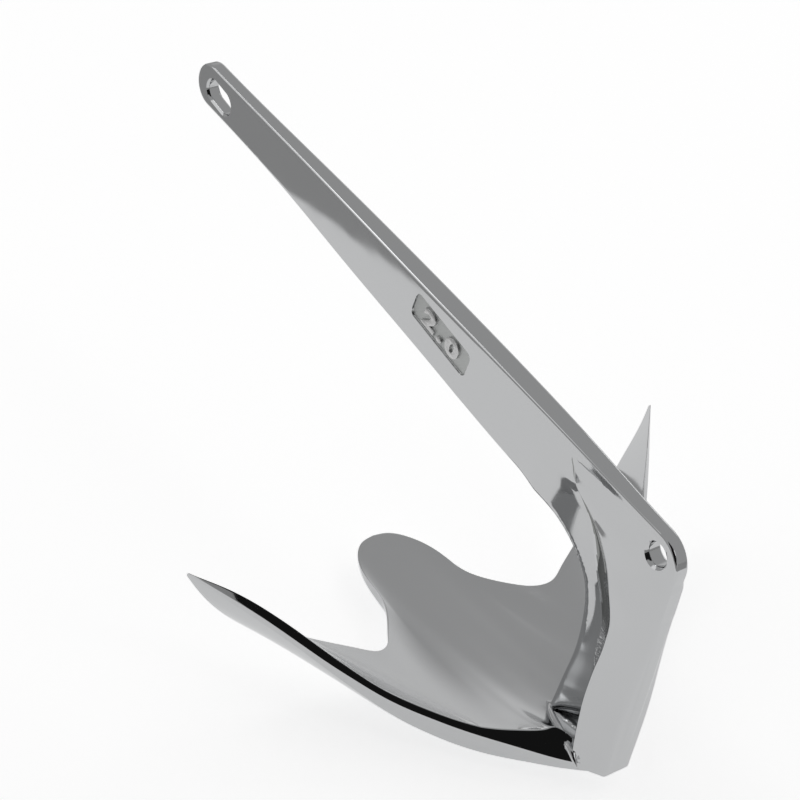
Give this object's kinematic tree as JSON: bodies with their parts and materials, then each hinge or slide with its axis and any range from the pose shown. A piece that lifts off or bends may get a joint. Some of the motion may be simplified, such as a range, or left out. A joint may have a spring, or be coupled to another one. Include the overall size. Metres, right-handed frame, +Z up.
{
  "type": "claw anchor",
  "caption": "One-piece cast claw anchor: flat tapering shank with a shackle slot and trip-line hole, flared crown and a three-fingered scoop.",
  "frame": {"origin": "bottom centre of the anchor's box, as it stands on its claw", "axes": "+X from the crown towards the shackle end of the shank, +Y across the claw, +Z up"},
  "size_m": [0.3232, 0.2348, 0.1637],
  "materials": {
    "polished_steel": "mirror polished stainless steel"
  },
  "bodies": {
    "root": {"claw_anchor": "polished_steel"}
  },
  "joints": []
}
